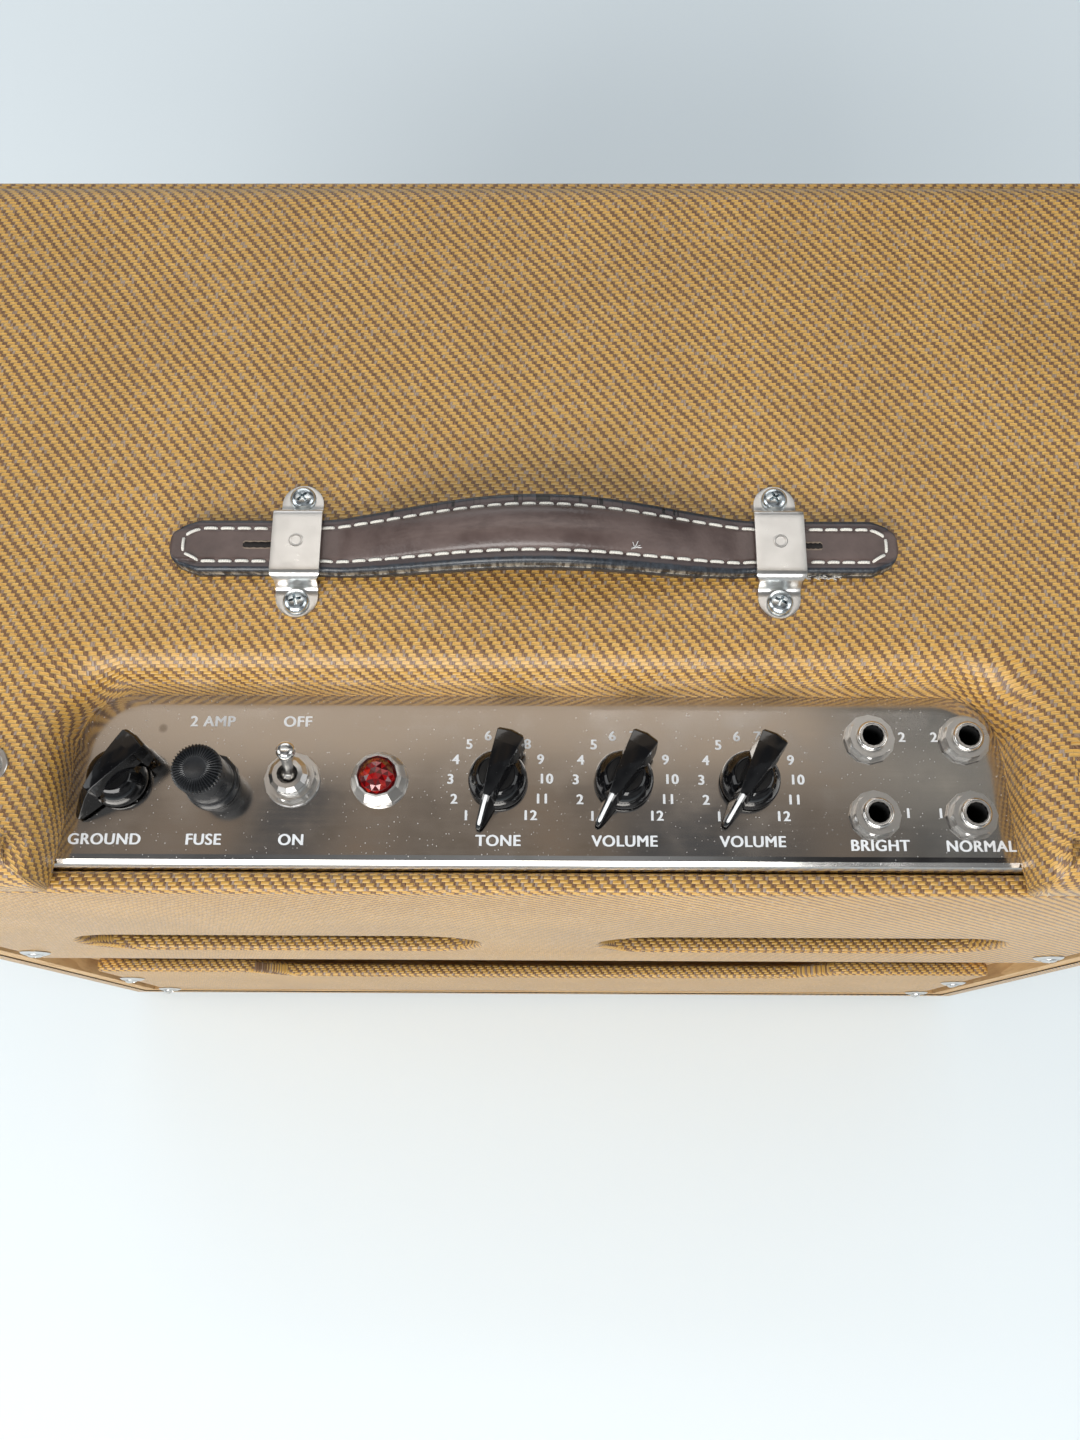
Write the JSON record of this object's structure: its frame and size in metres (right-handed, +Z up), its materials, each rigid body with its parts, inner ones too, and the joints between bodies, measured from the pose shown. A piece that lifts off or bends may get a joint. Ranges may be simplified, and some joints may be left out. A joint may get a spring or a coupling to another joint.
{
  "type": "guitar amplifier",
  "caption": "Combo guitar amplifier: cloth-covered open-back cabinet with a loudspeaker, valve chassis, chrome control panel let into the top, pointer knobs and a leather carrying handle.",
  "frame": {"origin": "on the floor, under the middle of the cabinet's footprint", "axes": "+Z up, -Y out of the grille, +Y out of the back, +X to the right of someone facing the grille"},
  "size_m": [0.5, 0.241, 0.4395],
  "materials": {
    "tweed_pine": "lacquered yellow-brown twill cloth glued over board, semi-gloss",
    "bare_pine": "bare softwood and plywood",
    "grille_cloth": "dark red-brown woven grille cloth",
    "chrome_panel": "polished plate, dusty",
    "chrome_trim": "bright plate",
    "nickel": "nickel plate, slightly aged",
    "leather": "brown leather, edges painted black, light stitching",
    "black_plastic": "moulded black, glossy",
    "red_glass": "faceted red jewel",
    "zinc_steel": "zinc plated, satin",
    "black_iron": "black enamel",
    "brown_phenolic": "moulded brown phenolic",
    "fibre_board": "waxed black fibre board",
    "tube_glass": "clear glass envelope",
    "cone_paper": "pressed black paper pulp",
    "rubber": "black rubber"
  },
  "bodies": {
    "cabinet": {"cabinet_top": "tweed_pine", "cabinet_bottom": "tweed_pine", "cabinet_side_left": "tweed_pine", "cabinet_side_right": "tweed_pine", "front_panel_top": "tweed_pine", "front_panel_bottom": "tweed_pine", "upper_back_panel": "tweed_pine", "lower_back_panel": "tweed_pine", "rear_cleat_left": "bare_pine", "rear_cleat_right": "bare_pine", "baffle_board": "bare_pine", "grille_cloth": "grille_cloth", "chassis": "chrome_panel", "handle_strap": "leather", "handle_clamp_left": "nickel", "handle_clamp_right": "nickel", "ground_switch": "zinc_steel", "fuse_holder": "black_plastic", "power_switch": "nickel", "pilot_bezel": "chrome_trim", "pilot_jewel": "red_glass", "pot_tone": "zinc_steel", "pot_volume_1": "zinc_steel", "pot_volume_2": "zinc_steel", "jack_bright_1": "nickel", "jack_bright_2": "nickel", "jack_normal_1": "nickel", "jack_normal_2": "nickel", "power_transformer": "black_iron", "output_transformer": "black_iron", "circuit_board": "fibre_board", "speaker_basket": "zinc_steel", "speaker_magnet": "black_iron", "cord_grommet": "rubber", "speaker_lead": "rubber", "handle_screw_left_front": "nickel", "glide_front_left": "nickel", "handle_screw_left_rear": "nickel", "glide_rear_left": "nickel", "handle_screw_right_front": "nickel", "glide_front_right": "nickel", "handle_screw_right_rear": "nickel", "glide_rear_right": "nickel", "tube_rectifier": "tube_glass", "tube_socket_rectifier": "brown_phenolic", "tube_power_1": "tube_glass", "tube_socket_power_1": "brown_phenolic", "tube_power_2": "tube_glass", "tube_socket_power_2": "brown_phenolic", "tube_preamp_1": "tube_glass", "tube_socket_preamp_1": "brown_phenolic", "tube_preamp_2": "tube_glass", "tube_socket_preamp_2": "brown_phenolic"},
    "ground_knob_body": {"ground_knob": "black_plastic"},
    "tone_knob_body": {"knob_tone": "black_plastic"},
    "volume_1_knob_body": {"knob_volume_1": "black_plastic"},
    "volume_2_knob_body": {"knob_volume_2": "black_plastic"},
    "toggle_lever": {"switch_lever": "chrome_trim"},
    "fuse_cap_body": {"fuse_cap": "black_plastic"},
    "cone_body": {"speaker_cone": "cone_paper"}
  },
  "joints": [
    {"name": "ground_knob_turn", "type": "hinge", "parent": "cabinet", "child": "ground_knob_body", "pos_m": [0.127, 0.0865, 0.3982], "axis": [0, 0, 1], "range_deg": [0, 60]},
    {"name": "tone_turn", "type": "hinge", "parent": "cabinet", "child": "tone_knob_body", "pos_m": [0.0119, 0.0865, 0.3982], "axis": [0, 0, -1], "range_deg": [0, 300]},
    {"name": "volume_1_turn", "type": "hinge", "parent": "cabinet", "child": "volume_1_knob_body", "pos_m": [-0.0262, 0.0865, 0.3982], "axis": [0, 0, -1], "range_deg": [0, 300]},
    {"name": "volume_2_turn", "type": "hinge", "parent": "cabinet", "child": "volume_2_knob_body", "pos_m": [-0.0643, 0.0865, 0.3982], "axis": [0, 0, -1], "range_deg": [0, 300]},
    {"name": "switch_toggle", "type": "hinge", "parent": "cabinet", "child": "toggle_lever", "pos_m": [0.0744, 0.0865, 0.4032], "axis": [-1, 0, 0], "range_deg": [0, 25]},
    {"name": "fuse_pull", "type": "slide", "parent": "cabinet", "child": "fuse_cap_body", "axis": [0, 0, 1], "range_m": [0, 0.034]},
    {"name": "cone_travel", "type": "slide", "parent": "cabinet", "child": "cone_body", "axis": [0, 1, 0], "range_m": [-0.0025, 0.0025], "stiffness_N_per_m": 4000}
  ]
}
